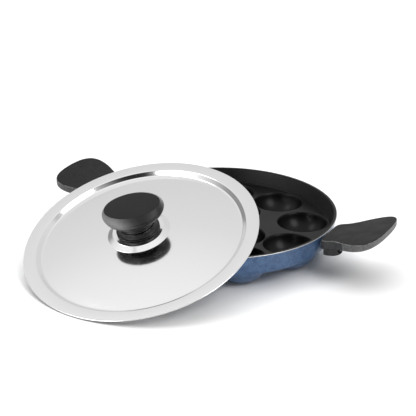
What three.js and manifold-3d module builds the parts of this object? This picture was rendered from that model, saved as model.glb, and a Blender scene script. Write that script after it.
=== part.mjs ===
// Paniyaram pan: a cast pan with rings of round cavities, two side grips and a loose lid on its rim.
// Millimetres, +Z up. The origin is on the table, in the middle of the box around pan and lid.
import * as THREE from "three";
import { mergeVertices } from "three/addons/utils/BufferGeometryUtils.js";
import Module from "manifold-3d";

const wasm = await Module();
wasm.setup();

// Pan casting
const rimRadius = 110;
const rimWidth = 3; // flat top of the rim
const insideTaper = 3.2; // how far the inside wall leans in from rim to plate
const plateDepth = 14.4; // rim down to the cooking plate
const plateThickness = 6.4;
const wallTaper = 4.4; // how far the outside wall leans in from rim to foot
const wallFootRound = 3;
const outerCavities = 9;
const outerRingStart = 270; // degrees
const innerCavities = 3;
const innerRingRadius = 32.8;
const innerRingStart = 90; // degrees
const cavityWeb = 5.82; // plate between neighbours of the outer ring
const cavityMargin = 1.9; // plate between the outer ring and the wall
const cavityDepth = 18.2;
const cavityFloor = 2.4; // metal under each cavity
const bowlWall = 2.8; // metal beside each cavity mouth
const bowlFootRadius = 12; // flat that each bowl stands on

// Side grips
const gripReach = 169; // pan axis to the tip of a grip
const gripRootDrop = 1; // top of the grip below the rim, at the wall
const gripRise = 15.7; // top of the tip above the top of the root
const gripSag = 0.6; // top of the grip below a straight line, halfway along
const gripRootHalfWidth = 22;
const gripRootRound = 8; // rounding of the corners beside the wall
const gripHalfWidth = 36.6;
const gripWidestFromTip = 15;
const gripWaistEase = 0.43; // shares of the flare that keep to the waist and to the widest place
const gripShoulderEase = 0.7;
const gripCornerEase = 0.82; // shares of the rounded end that keep to its sides and to its tip
const gripTipEase = 0.57;
const gripRootThickness = 9;
const gripTipThickness = 7;
const gripBlockLength = 17.5; // wall to the outer end of the block under the root
const gripBlockHalfWidth = 10.5;
const gripBlockDrop = 20; // rim down to the underside of the block

// Grip fixing: a stud on the wall, and a screw through the block into it
const fixingDrop = 13.6; // rim down to the screw's axis
const studLength = 6.2;
const studRadius = 5;
const screwSeatThickness = 5; // grip material clamped between stud and washer
const gripScrewRadius = 2.4;
const gripScrewEngagement = 5; // length of screw inside the stud
const gripScrewHeadRadius = 4.6;
const gripScrewHeadHeight = 2.8;
const gripScrewChamfer = 1;
const gripWasherRadius = 5.6;
const gripWasherThickness = 1;
const gripSpringWasherRadius = 4.4;
const gripSpringWasherThickness = 1.2;

// Lid sheet, measured from the plane of its flange
const lidRadius = 108.3;
const lidThickness = 0.9;
const flangeWidth = 11.8;
const troughDepth = 4;
const troughSlopeWidth = 4;
const domeRise = 5.85; // top of the dome above the flange, where the boss starts
const bossFootRadius = 28.6;
const bossRadius = 23.4;
const bossRise = 3.35; // top of the boss above the dome
const bossEdge = 0.6; // bevel round the top of the boss
const domeSteps = 5;

// Knob, held by one screw from under the lid
const collarHeight = 6.2;
const collarFootHalfLength = 19.8;
const collarEdge = 1.2;
const collarTopRadius = 16.2;
const collarFootHalfWidth = 18.3;
const neckRadius = 15.8;
const neckHeight = 8;
const capHalfLength = 28.2;
const capHalfWidth = 24.2;
const capTopHalfWidth = 17.8;
const capRise = 8; // neck to the widest ring of the cap
const capBevelHeight = 4.4;
const capBevelWidth = 2.8;
const capCrown = 0.5; // rise of the cap's top in its middle
const knobTurn = -55; // degrees, length of the knob from the lid's downhill line
const insertRadius = 5;
const insertLength = 12;
const knobScrewRadius = 2.5;
const knobScrewEngagement = 8;
const knobScrewHeadRadius = 5;
const knobScrewHeadHeight = 3;
const knobScrewChamfer = 1.1;
const knobWasherRadius = 7;
const knobWasherThickness = 1;
const knobSpringWasherRadius = 4.6;
const knobSpringWasherThickness = 1.2;

// Where the lid leans: its downhill line, and its centre along and across that line from the pan axis
const leanDirection = -97.5; // degrees
const leanReach = 96.8;
const leanSideways = 21.1;
const steepestLean = 60; // degrees
const leanRounds = 40; // halvings in the search for the lean

// Fits and facets
const seatGap = 0.3; // between pieces that touch
const screwPlay = 0.3; // round a screw in its hole
const springWasherSplit = 24; // degrees left open
const roundSegments = 64;
const bowlSegments = 20;
const bowlSteps = 4;
const smallSegments = 16;
const curveSegments = 8;
const cornerSteps = 3;
const overcut = 1; // how far a cutting body runs past the face it opens
const weld = 1e-4; // corners nearer than this are one

const plateRadius = rimRadius - rimWidth - insideTaper;
const neighbourShare = Math.sin(Math.PI / outerCavities); // half a step of the outer ring over its radius
const outerRingRadius = (plateRadius - cavityMargin + cavityWeb / 2) / (1 + neighbourShare);
const cavityMouthRadius = outerRingRadius * neighbourShare - cavityWeb / 2;
const panHeight = plateDepth + cavityDepth + cavityFloor;
const plateHeight = panHeight - plateDepth;
const plateUnderside = plateHeight - plateThickness;
const fixingHeight = panHeight - fixingDrop;
const degree = Math.PI / 180;

// Bodies for joining and cutting

function toSolid(geometry) {
  const bare = new THREE.BufferGeometry();
  bare.setAttribute("position", geometry.getAttribute("position").clone());
  bare.setIndex(geometry.getIndex());
  const merged = mergeVertices(bare, weld);
  const corners = Array.from(merged.getIndex().array);
  const triangles = [];
  for (let i = 0; i < corners.length; i += 3) {
    const [a, b, c] = corners.slice(i, i + 3);
    if (a !== b && b !== c && c !== a) {
      triangles.push(a, b, c);
    }
  }
  const mesh = new wasm.Mesh({
    numProp: 3,
    vertProperties: new Float32Array(merged.getAttribute("position").array),
    triVerts: new Uint32Array(triangles),
  });
  return new wasm.Manifold(mesh);
}

function toGeometry(solid) {
  const mesh = solid.getMesh();
  const geometry = new THREE.BufferGeometry();
  geometry.setAttribute("position", new THREE.BufferAttribute(mesh.vertProperties, 3));
  geometry.setIndex(new THREE.BufferAttribute(mesh.triVerts, 1));
  geometry.computeVertexNormals();
  return geometry;
}

// Body of revolution about Z from an outline of [radius, height] points, walked with the metal on the left
function turned(outline, segments = roundSegments) {
  const points = outline.map(([radius, height]) => new THREE.Vector2(Math.max(radius, 0), height));
  return new THREE.LatheGeometry(points, segments).rotateX(Math.PI / 2);
}

function ring(innerRadius, outerRadius, low, high, segments = smallSegments) {
  return turned(
    [
      [innerRadius, low],
      [outerRadius, low],
      [outerRadius, high],
      [innerRadius, high],
      [innerRadius, low],
    ],
    segments,
  );
}

function rod(radius, low, high, segments = smallSegments) {
  return turned(
    [
      [0, low],
      [radius, low],
      [radius, high],
      [0, high],
    ],
    segments,
  );
}

// Rod that lies along +X at the height of the grip fixing
function crosswise(geometry) {
  return geometry.rotateY(Math.PI / 2).translate(0, 0, fixingHeight);
}

function arc(centreRadius, centreHeight, radius, from, to, steps) {
  const points = [];
  for (let i = 0; i <= steps; i += 1) {
    const angle = from + ((to - from) * i) / steps;
    points.push([centreRadius + radius * Math.cos(angle), centreHeight + radius * Math.sin(angle)]);
  }
  return points;
}

// Screw with a bevelled head, its tip up and the seat of its head at height zero
function screw(radius, length, headRadius, headHeight, chamfer) {
  return turned(
    [
      [0, -headHeight],
      [headRadius - chamfer, -headHeight],
      [headRadius, -headHeight + chamfer],
      [headRadius, 0],
      [radius, 0],
      [radius, length - chamfer],
      [radius - chamfer, length],
      [0, length],
    ],
    smallSegments,
  );
}

// Split ring, flat, from height zero up
function springWasher(innerRadius, outerRadius, thickness) {
  const half = (springWasherSplit / 2) * degree;
  const shape = new THREE.Shape();
  shape.absarc(0, 0, outerRadius, half, 2 * Math.PI - half, false);
  shape.absarc(0, 0, innerRadius, 2 * Math.PI - half, half, true);
  shape.closePath();
  const options = { depth: thickness, bevelEnabled: false, curveSegments: smallSegments };
  return new THREE.ExtrudeGeometry(shape, options);
}

function material(colour, roughness, metalness) {
  return new THREE.MeshStandardMaterial({ color: colour, roughness, metalness });
}

function piece(name, geometry, finish) {
  const mesh = new THREE.Mesh(geometry, finish);
  mesh.name = name;
  return mesh;
}

// Pan casting

const wallFootRadius = rimRadius - wallTaper;
const wallFootHeight = plateUnderside + wallFootRound;

function cavityPlaces() {
  const places = [];
  for (let i = 0; i < outerCavities; i += 1) {
    places.push([outerRingRadius, outerRingStart + (360 * i) / outerCavities]);
  }
  for (let i = 0; i < innerCavities; i += 1) {
    places.push([innerRingRadius, innerRingStart + (360 * i) / innerCavities]);
  }
  return places.map(([radius, angle]) => {
    const turn = angle * degree;
    return [radius * Math.cos(turn), radius * Math.sin(turn)];
  });
}

// Outside of one bowl: a round bulge under the plate, standing on a small flat
function bowl() {
  const topRadius = cavityMouthRadius + bowlWall;
  const rise = topRadius ** 2 + plateUnderside ** 2 - bowlFootRadius ** 2;
  const centre = rise / (2 * plateUnderside);
  const radius = Math.hypot(bowlFootRadius, centre);
  const low = Math.atan2(-centre, bowlFootRadius);
  const high = Math.atan2(plateUnderside - centre, topRadius);
  const bulge = arc(0, centre, radius, low, high, bowlSteps);
  const inPlate = plateHeight - plateThickness / 2;
  return turned([[0, 0], ...bulge, [topRadius, inPlate], [0, inPlate]], bowlSegments);
}

// Inside of one cavity: a round dish cut down from the plate
function cavity() {
  const radius = (cavityMouthRadius ** 2 + cavityDepth ** 2) / (2 * cavityDepth);
  const centre = cavityFloor + radius;
  const mouth = Math.atan2(plateHeight - centre, cavityMouthRadius);
  const dish = arc(0, centre, radius, -Math.PI / 2, mouth, bowlSteps + 1);
  const above = plateHeight + overcut;
  return turned([...dish, [cavityMouthRadius, above], [0, above]], bowlSegments);
}

function panBody() {
  const footCentre = wallFootRadius - wallFootRound;
  let solid = toSolid(
    turned([
      [0, plateUnderside],
      ...arc(footCentre, wallFootHeight, wallFootRound, -Math.PI / 2, 0, cornerSteps),
      [rimRadius, panHeight],
      [rimRadius - rimWidth, panHeight],
      [plateRadius, plateHeight],
      [0, plateHeight],
    ]),
  );
  for (const [x, y] of cavityPlaces()) {
    solid = solid.add(toSolid(bowl().translate(x, y, 0)));
  }
  for (const [x, y] of cavityPlaces()) {
    solid = solid.subtract(toSolid(cavity().translate(x, y, 0)));
  }
  return toGeometry(solid);
}

// Side grips, built on the +X side

// Distances along +X from the pan axis through the fixing, wall outwards
const fixingShare = (fixingHeight - wallFootHeight) / (panHeight - wallFootHeight);
const wallAtFixing = wallFootRadius + wallTaper * fixingShare;
const studEnd = wallAtFixing + studLength;
const screwSeat = studEnd + seatGap + screwSeatThickness;
const washerAt = screwSeat + seatGap;
const springWasherAt = washerAt + gripWasherThickness + seatGap;
const screwHeadAt = springWasherAt + gripSpringWasherThickness + seatGap;
const blockEnd = wallAtFixing + gripBlockLength;
const gripRoot = rimRadius + seatGap; // flat inner end of a grip, just clear of the rim

// Everything inside the wall, with the gap that a stud keeps
function wallCutter() {
  const above = panHeight + gripRise + overcut;
  return toSolid(
    turned([
      [0, -overcut],
      [wallFootRadius + seatGap, -overcut],
      [wallFootRadius + seatGap, wallFootHeight],
      [rimRadius + seatGap, panHeight],
      [rimRadius + seatGap, above],
      [0, above],
    ]),
  );
}

// Side view of the grip's blade: a plate that sweeps up and thins towards its tip
function bladeSide() {
  const slope = gripRise / (gripReach - rimRadius);
  const tipTop = panHeight - gripRootDrop + gripRise;
  const rootTop = tipTop - slope * (gripReach - gripRoot);
  const bend = (gripRoot + gripReach) / 2;
  const bendTop = (rootTop + tipTop) / 2 - 2 * gripSag;
  const bendThickness = (gripRootThickness + gripTipThickness) / 2;
  const shape = new THREE.Shape();
  shape.moveTo(gripRoot, rootTop);
  shape.lineTo(gripRoot, rootTop - gripRootThickness);
  shape.quadraticCurveTo(bend, bendTop - bendThickness, gripReach, tipTop - gripTipThickness);
  shape.lineTo(gripReach, tipTop);
  shape.quadraticCurveTo(bend, bendTop, gripRoot, rootTop);
  const options = { depth: 2 * (gripHalfWidth + overcut), bevelEnabled: false, curveSegments };
  const plate = new THREE.ExtrudeGeometry(shape, options);
  return toSolid(plate.rotateX(Math.PI / 2).translate(0, gripHalfWidth + overcut, 0));
}

// Plan view of the blade: narrow at the wall, fanning out to a broad rounded end
function bladePlan() {
  const widest = gripReach - gripWidestFromTip;
  const flare = widest - rimRadius;
  const shape = new THREE.Shape();
  const waist = rimRadius + flare * gripWaistEase;
  const shoulder = rimRadius + flare * gripShoulderEase;
  const corner = widest + gripWidestFromTip * gripCornerEase;
  const tipEase = gripHalfWidth * gripTipEase;
  const narrow = gripRootHalfWidth;
  const broad = gripHalfWidth;
  const flat = narrow - gripRootRound;
  const flank = gripRoot + gripRootRound;
  shape.moveTo(gripRoot, -flat);
  shape.quadraticCurveTo(gripRoot, -narrow, flank, -narrow);
  shape.bezierCurveTo(waist, -narrow, shoulder, -broad, widest, -broad);
  shape.bezierCurveTo(corner, -broad, gripReach, -tipEase, gripReach, 0);
  shape.bezierCurveTo(gripReach, tipEase, corner, broad, widest, broad);
  shape.bezierCurveTo(shoulder, broad, waist, narrow, flank, narrow);
  shape.quadraticCurveTo(gripRoot, narrow, gripRoot, flat);
  shape.closePath();
  const options = { depth: panHeight + gripRise + overcut, bevelEnabled: false, curveSegments };
  return toSolid(new THREE.ExtrudeGeometry(shape, options));
}

// Block under the root, rounded at its outer end
function gripBlock() {
  const roundAt = blockEnd - gripBlockHalfWidth;
  const shape = new THREE.Shape();
  shape.moveTo(gripRoot, -gripBlockHalfWidth);
  shape.lineTo(roundAt, -gripBlockHalfWidth);
  shape.absarc(roundAt, 0, gripBlockHalfWidth, -Math.PI / 2, Math.PI / 2, false);
  shape.lineTo(gripRoot, gripBlockHalfWidth);
  shape.closePath();
  const top = panHeight - gripRootDrop - gripRootThickness / 2;
  const bottom = panHeight - gripBlockDrop;
  const options = { depth: top - bottom, bevelEnabled: false, curveSegments };
  return toSolid(new THREE.ExtrudeGeometry(shape, options).translate(0, 0, bottom));
}

function gripBody() {
  const studHole = crosswise(rod(studRadius + seatGap, plateRadius, studEnd + seatGap));
  const screwHole = crosswise(rod(gripScrewRadius + screwPlay, plateRadius, blockEnd));
  const headHole = crosswise(rod(gripWasherRadius + screwPlay, screwSeat, blockEnd + overcut));
  const solid = bladeSide()
    .intersect(bladePlan())
    .add(gripBlock())
    .subtract(toSolid(studHole))
    .subtract(toSolid(screwHole))
    .subtract(toSolid(headHole));
  return toGeometry(solid);
}

function studBody() {
  const tube = crosswise(ring(gripScrewRadius + screwPlay, studRadius, plateRadius, studEnd));
  return toGeometry(toSolid(tube).subtract(wallCutter()));
}

function gripScrew() {
  const length = screwHeadAt - studEnd + gripScrewEngagement;
  const head = [gripScrewHeadRadius, gripScrewHeadHeight, gripScrewChamfer];
  const body = screw(gripScrewRadius, length, ...head);
  return crosswise(body.rotateX(Math.PI).translate(0, 0, screwHeadAt));
}

function gripWasher() {
  return crosswise(
    ring(gripScrewRadius + screwPlay, gripWasherRadius, washerAt, washerAt + gripWasherThickness),
  );
}

function gripSpringWasher() {
  const inner = gripScrewRadius + screwPlay;
  const body = springWasher(inner, gripSpringWasherRadius, gripSpringWasherThickness);
  return crosswise(body.translate(0, 0, springWasherAt));
}

// Lid, in its own frame: flange plane at height zero, axis up

const flangeInnerRadius = lidRadius - flangeWidth;
const troughRadius = flangeInnerRadius - troughSlopeWidth;
const bossTop = domeRise + bossRise;
const lidHoleRadius = knobScrewRadius + screwPlay;

// Upper face of the sheet, from the screw hole out to the edge
function lidFace() {
  const points = [
    [lidHoleRadius, bossTop],
    [bossRadius - bossEdge, bossTop],
    [bossRadius, bossTop - bossEdge],
  ];
  const span = troughRadius ** 2 - bossFootRadius ** 2;
  for (let i = 0; i <= domeSteps; i += 1) {
    const radius = bossFootRadius + ((troughRadius - bossFootRadius) * i) / domeSteps;
    const fall = (radius ** 2 - bossFootRadius ** 2) / span;
    points.push([radius, domeRise - (domeRise + troughDepth) * fall]);
  }
  points.push([flangeInnerRadius, 0], [lidRadius, 0]);
  return points;
}

// The face moved down through the sheet, square to it
function lidUnderside() {
  const face = lidFace();
  return face.map(([radius, height], i) => {
    const before = face[Math.max(i - 1, 0)];
    const after = face[Math.min(i + 1, face.length - 1)];
    const along = new THREE.Vector2(after[0] - before[0], after[1] - before[1]).normalize();
    const ends = i === 0 || i === face.length - 1;
    const shift = ends ? new THREE.Vector2(0, -1) : new THREE.Vector2(along.y, -along.x);
    return [radius + shift.x * lidThickness, height + shift.y * lidThickness];
  });
}

function lidSheet() {
  const under = lidUnderside();
  return turned([...under, ...lidFace().reverse(), under[0]]);
}

const collarBottom = bossTop + seatGap;
const neckBottom = collarBottom + collarHeight + seatGap;
const insertBottom = neckBottom + seatGap;

// Squeezes a turned body across its length, by a share that follows height between the given levels
function oval(geometry, levels) {
  const place = geometry.getAttribute("position");
  for (let i = 0; i < place.count; i += 1) {
    const height = place.getZ(i);
    const upper = Math.max(levels.findIndex(([level]) => height <= level + weld), 1);
    const [lowLevel, lowShare] = levels[upper - 1];
    const [highLevel, highShare] = levels[upper];
    const part = Math.max((height - lowLevel) / (highLevel - lowLevel), 0);
    const nearAxis = Math.hypot(place.getX(i), place.getY(i)) < insertRadius + 2 * screwPlay;
    const share = nearAxis ? 1 : lowShare + (highShare - lowShare) * part;
    place.setY(i, place.getY(i) * share);
  }
  return geometry.rotateZ(knobTurn * degree);
}

// Corner points on a quarter of an ellipse, from its side to its top
function quarter(radius, height, width, rise) {
  const points = [];
  for (let i = 0; i <= cornerSteps; i += 1) {
    const angle = ((Math.PI / 2) * i) / cornerSteps;
    points.push([radius + width * Math.cos(angle), height + rise * Math.sin(angle)]);
  }
  return points;
}

// Flared foot of the knob, hollowed between its thin edge and its top
function knobCollar() {
  const hole = knobScrewRadius + screwPlay;
  const edgeTop = collarBottom + collarEdge;
  const top = collarBottom + collarHeight;
  const hollow = quarter(collarFootHalfLength, top, collarTopRadius - collarFootHalfLength, edgeTop - top);
  const profile = [
    [hole, collarBottom],
    [collarFootHalfLength, collarBottom],
    ...hollow.reverse(),
    [hole, top],
    [hole, collarBottom],
  ];
  const levels = [
    [collarBottom, collarFootHalfWidth / collarFootHalfLength],
    [top, 1],
  ];
  return oval(turned(profile, 2 * smallSegments), levels);
}

// Round neck under an oval cap with a rounded edge
function knobBody() {
  const hole = insertRadius + screwPlay;
  const holeTop = insertBottom + insertLength + seatGap;
  const neckTop = neckBottom + neckHeight;
  const widest = neckTop + capRise;
  const top = widest + capBevelHeight;
  const topHalfLength = capHalfLength - capBevelWidth;
  const topShare = capTopHalfWidth / topHalfLength;
  const underCap = quarter(neckRadius, widest, capHalfLength - neckRadius, neckTop - widest);
  const overCap = quarter(topHalfLength, widest, capBevelWidth, capBevelHeight);
  const profile = [
    [0, holeTop],
    [hole, holeTop],
    [hole, neckBottom],
    [neckRadius, neckBottom],
    ...underCap.reverse(),
    ...overCap.slice(1),
    [0, top + capCrown],
  ];
  const levels = [
    [neckBottom, 1],
    [neckTop, 1],
    [widest, capHalfWidth / capHalfLength],
    [top, topShare],
    [top + capCrown, topShare],
  ];
  return oval(turned(profile, 2 * smallSegments), levels);
}

function knobInsert() {
  const bore = knobScrewRadius + screwPlay;
  const top = insertBottom + insertLength;
  const boreTop = insertBottom + knobScrewEngagement + 2 * seatGap;
  return turned(
    [
      [0, boreTop],
      [bore, boreTop],
      [bore, insertBottom],
      [insertRadius, insertBottom],
      [insertRadius, top],
      [0, top],
    ],
    smallSegments,
  );
}

const knobWasherBottom = bossTop - lidThickness - seatGap - knobWasherThickness;
const knobSpringWasherBottom = knobWasherBottom - seatGap - knobSpringWasherThickness;
const knobScrewSeat = knobSpringWasherBottom - seatGap;

function knobScrew() {
  const length = insertBottom + knobScrewEngagement - knobScrewSeat;
  const head = [knobScrewHeadRadius, knobScrewHeadHeight, knobScrewChamfer];
  return screw(knobScrewRadius, length, ...head).translate(0, 0, knobScrewSeat);
}

function knobWasher() {
  const low = knobWasherBottom;
  return ring(knobScrewRadius + screwPlay, knobWasherRadius, low, low + knobWasherThickness);
}

function knobSpringWasher() {
  const inner = knobScrewRadius + screwPlay;
  const body = springWasher(inner, knobSpringWasherRadius, knobSpringWasherThickness);
  return body.translate(0, 0, knobSpringWasherBottom);
}

// Lean of the lid: its low edge stands on the table and its underside lies on the rim

function heightAt(profile, radius) {
  const next = profile.findIndex(([reach]) => reach >= radius);
  if (next < 1) {
    return profile[0][1];
  }
  const [r0, z0] = profile[next - 1];
  const [r1, z1] = profile[next];
  return z0 + ((z1 - z0) * (radius - r0)) / (r1 - r0);
}

// Place of the lid's frame for a tilt, with its lowest edge a seat gap above the table
function lidPlace(tilt) {
  const downhill = leanDirection * degree;
  const x = leanReach * Math.cos(downhill) + leanSideways * Math.sin(downhill);
  const y = leanReach * Math.sin(downhill) - leanSideways * Math.cos(downhill);
  const z = lidRadius * Math.sin(tilt) + lidThickness * Math.cos(tilt) + seatGap;
  const turn = new THREE.Quaternion().setFromAxisAngle(new THREE.Vector3(0, 0, 1), downhill);
  const tip = new THREE.Quaternion().setFromAxisAngle(new THREE.Vector3(0, 1, 0), tilt);
  return new THREE.Matrix4().compose(
    new THREE.Vector3(x, y, z),
    turn.multiply(tip),
    new THREE.Vector3(1, 1, 1),
  );
}

// Least height of the lid's underside over the rim, measured along the lid's axis
function rimClearance(tilt) {
  const toLid = lidPlace(tilt).invert();
  const under = lidUnderside();
  let least = Infinity;
  for (const radius of [rimRadius, rimRadius - rimWidth]) {
    for (let angle = 0; angle < 360; angle += 1) {
      const x = radius * Math.cos(angle * degree);
      const y = radius * Math.sin(angle * degree);
      const spot = new THREE.Vector3(x, y, panHeight).applyMatrix4(toLid);
      const reach = Math.hypot(spot.x, spot.y);
      if (reach < lidRadius) {
        least = Math.min(least, heightAt(under, reach) - spot.z);
      }
    }
  }
  return least;
}

function leanTilt() {
  let low = 0;
  let high = steepestLean * degree;
  for (let i = 0; i < leanRounds; i += 1) {
    const middle = (low + high) / 2;
    if (rimClearance(middle) < seatGap) {
      low = middle;
    } else {
      high = middle;
    }
  }
  return high;
}

// Assembly

const blueCoat = material(0x4b668f, 0.45, 0.4);
const blackBakelite = material(0x2a2a2b, 0.6, 0);
const polishedSteel = material(0xd4d6d8, 0.12, 1);
const fixingSteel = material(0xb4b6b8, 0.35, 1);
const studAluminium = material(0xbfc1c4, 0.45, 1);
const insertBrass = material(0xb48a3c, 0.35, 1);

const pan = new THREE.Group();
pan.add(piece("pan_body", panBody(), blueCoat));
for (const [side, turn] of [["right", 0], ["left", Math.PI]]) {
  const handle = new THREE.Group();
  handle.rotation.z = turn;
  handle.add(piece(`${side}_grip`, gripBody(), blackBakelite));
  handle.add(piece(`${side}_stud`, studBody(), studAluminium));
  handle.add(piece(`${side}_grip_screw`, toGeometry(toSolid(gripScrew())), fixingSteel));
  handle.add(piece(`${side}_grip_washer`, toGeometry(toSolid(gripWasher())), fixingSteel));
  handle.add(piece(`${side}_grip_spring_washer`, toGeometry(toSolid(gripSpringWasher())), fixingSteel));
  pan.add(handle);
}

const lid = new THREE.Group();
lid.add(piece("lid_plate", toGeometry(toSolid(lidSheet())), polishedSteel));
lid.add(piece("knob_collar", toGeometry(toSolid(knobCollar())), blackBakelite));
lid.add(piece("lid_knob", toGeometry(toSolid(knobBody())), blackBakelite));
lid.add(piece("knob_insert", toGeometry(toSolid(knobInsert())), insertBrass));
lid.add(piece("knob_screw", toGeometry(toSolid(knobScrew())), fixingSteel));
lid.add(piece("knob_washer", toGeometry(toSolid(knobWasher())), fixingSteel));
lid.add(piece("knob_spring_washer", toGeometry(toSolid(knobSpringWasher())), fixingSteel));
lidPlace(leanTilt()).decompose(lid.position, lid.quaternion, lid.scale);
pan.add(lid);

// Brings the middle of the box to the origin, standing on the table
const box = new THREE.Box3().setFromObject(pan, true);
const middle = box.getCenter(new THREE.Vector3());
pan.position.set(-middle.x, -middle.y, -box.min.z);

const group = new THREE.Group();
group.add(pan);

export default group;
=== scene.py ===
import math

import bmesh
import bpy
import numpy as np
from mathutils import Matrix, Vector
from mathutils.geometry import delaunay_2d_cdt


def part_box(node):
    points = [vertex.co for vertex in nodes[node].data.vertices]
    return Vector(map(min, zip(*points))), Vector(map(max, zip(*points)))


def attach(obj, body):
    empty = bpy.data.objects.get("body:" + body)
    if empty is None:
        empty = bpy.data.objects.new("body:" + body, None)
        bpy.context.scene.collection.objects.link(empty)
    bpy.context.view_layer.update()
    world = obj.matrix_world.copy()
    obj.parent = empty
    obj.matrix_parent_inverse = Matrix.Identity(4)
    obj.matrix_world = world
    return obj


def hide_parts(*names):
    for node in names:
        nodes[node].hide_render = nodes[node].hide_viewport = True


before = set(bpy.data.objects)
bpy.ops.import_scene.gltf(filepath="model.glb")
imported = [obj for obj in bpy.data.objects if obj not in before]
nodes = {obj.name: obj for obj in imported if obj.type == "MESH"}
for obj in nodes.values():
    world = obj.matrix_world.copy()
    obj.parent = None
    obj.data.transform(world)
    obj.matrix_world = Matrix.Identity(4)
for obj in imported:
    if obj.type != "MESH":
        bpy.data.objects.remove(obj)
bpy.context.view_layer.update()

scene = bpy.context.scene
mm = 0.001  # shapes below are drawn in millimetres
print("frame loaded:", len(nodes), "nodes")


# where the pan and the lid stand

ringGap = 1e-5  # metres; points this near to the widest reach lie on the lid's edge

panLow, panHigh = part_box("pan_body")
panAxis = Vector(((panLow.x + panHigh.x) / 2, (panLow.y + panHigh.y) / 2, 0))
panPlace = Matrix.Translation(panAxis)


def columnFrame(right, ahead, up, centre):
    return Matrix((
        (right.x, ahead.x, up.x, centre.x),
        (right.y, ahead.y, up.y, centre.y),
        (right.z, ahead.z, up.z, centre.z),
        (0, 0, 0, 1)))


def leaningPlace(node):
    # frame of a leaning round sheet, read off its points: middle of its edge, axis upwards
    points = np.unique(np.round([tuple(v.co) for v in nodes[node].data.vertices], 6), axis=0)
    spread = np.linalg.eigh(np.cov((points - points.mean(0)).T))[1]
    up = Vector(spread[:, 0])
    if up.z < 0:
        up.negate()
    downhill = Vector((up.x, up.y, 0)).normalized()
    along = (downhill - up * downhill.dot(up)).normalized()
    across = up.cross(along)
    heights = points @ np.array(up)
    flat = points - np.outer(heights, up)
    edge = np.linalg.norm(flat - flat.mean(0), axis=1)
    ring = points[edge > edge.max() - ringGap]
    centre = Vector(ring.mean(0))
    flange = max(ring @ np.array(up))
    centre += up * (flange - centre.dot(up))
    return columnFrame(along, across, up, centre)


lidPlace = leaningPlace("lid_plate")
print("lid stands at", [round(v / mm, 2) for v in lidPlace.translation])


# mesh making

weldGap = 1e-7  # metres; points closer than this become one
tiny = 1e-6  # millimetres; a shorter length counts as none
creaseAngle = 38  # degrees; sharper edges stay crisp
nearlyStraight = math.radians(89.5)  # half the angle of a corner that is too flat to round


def newPiece(name, points, faces, coats, body=None, replaced=(), place=None, picks=None,
             crease=creaseAngle):
    # picks holds the number of the coat for each face; a piece without a body is finished by its caller
    mesh = bpy.data.meshes.new(name)
    mesh.from_pydata((np.asarray(points, float) * mm).tolist(), [], faces)
    if place is not None:
        mesh.transform(place)
    for coat in coats:
        mesh.materials.append(coat)
    if picks is not None:
        mesh.polygons.foreach_set("material_index", picks)
    shell = bmesh.new()
    shell.from_mesh(mesh)
    bmesh.ops.remove_doubles(shell, verts=shell.verts, dist=weldGap)
    bmesh.ops.recalc_face_normals(shell, faces=shell.faces)
    shell.to_mesh(mesh)
    shell.free()
    mesh.shade_smooth()
    mesh.set_sharp_from_angle(angle=math.radians(crease))
    piece = bpy.data.objects.new(name, mesh)
    scene.collection.objects.link(piece)
    if body:
        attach(piece, body)
        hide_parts(*replaced)
    return piece


def fullTurn(count):
    return np.arange(count) * 2 * math.pi / count


def roundedLine(corners, steps):
    # corners of (radius, height, rounding), with each rounded corner turned into a short arc
    line = []
    for i, (radius, height, rounding) in enumerate(corners):
        here = Vector((radius, height))
        if not rounding or i in (0, len(corners) - 1):
            line.append((radius, height))
            continue
        back = (Vector(corners[i - 1][:2]) - here).normalized()
        ahead = (Vector(corners[i + 1][:2]) - here).normalized()
        half = back.angle(ahead) / 2
        if half > nearlyStraight:
            line.append((radius, height))
            continue
        centre = here + (back + ahead).normalized() * (rounding / math.sin(half))
        first = here + back * (rounding / math.tan(half)) - centre
        last = here + ahead * (rounding / math.tan(half)) - centre
        turn = first.angle(last)
        for k in range(steps + 1):
            share = k / steps
            firstShare = math.sin((1 - share) * turn) / math.sin(turn)
            lastShare = math.sin(share * turn) / math.sin(turn)
            spot = centre + first * firstShare + last * lastShare
            line.append((spot.x, spot.y))
    return line


def turned(line, segments, closed=False):
    # line of (radius, height) turned round the upright axis; closed joins its end to its start
    points, rows, faces = [], [], []
    angles = fullTurn(segments)
    for radius, height in line:
        start = len(points)
        if radius < tiny:
            points.append((0, 0, height))
            rows.append([start] * segments)
            continue
        for angle in angles:
            points.append((radius * math.cos(angle), radius * math.sin(angle), height))
        rows.append(list(range(start, start + segments)))
    pairs = list(zip(rows, rows[1:]))
    if closed:
        pairs.append((rows[-1], rows[0]))
    for low, high in pairs:
        for i in range(segments):
            j = (i + 1) % segments
            corner = list(dict.fromkeys((low[i], low[j], high[j], high[i])))
            if len(corner) > 2:
                faces.append(corner)
    return np.array(points), faces


def gridFaces(rows, columns, start=0, around=False):
    faces = []
    for i in range(rows - 1):
        for j in range(columns if around else columns - 1):
            k = (j + 1) % columns
            low, high = start + i * columns, start + (i + 1) * columns
            faces.append((low + j, low + k, high + k, high + j))
    return faces


def smoothMin(a, b, blend):
    overlap = np.maximum(blend - np.abs(a - b), 0) / blend
    return np.minimum(a, b) - overlap * overlap * blend / 4


# finishes

fineRelief = 0.0001  # metres of depth that a bump stands for
coarseRelief = 0.0002
white = (1, 1, 1, 1)


def newFinish(name):
    finish = bpy.data.materials.new(name)
    finish.use_nodes = True
    tree = finish.node_tree
    return finish, tree, tree.nodes["Principled BSDF"]


def addNode(tree, kind, values=None, links=None, **settings):
    node = tree.nodes.new(kind)
    for key, value in settings.items():
        setattr(node, key, value)
    for key, value in (values or {}).items():
        node.inputs[key].default_value = value
    for key, source in (links or {}).items():
        tree.links.new(source, node.inputs[key])
    return node


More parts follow.
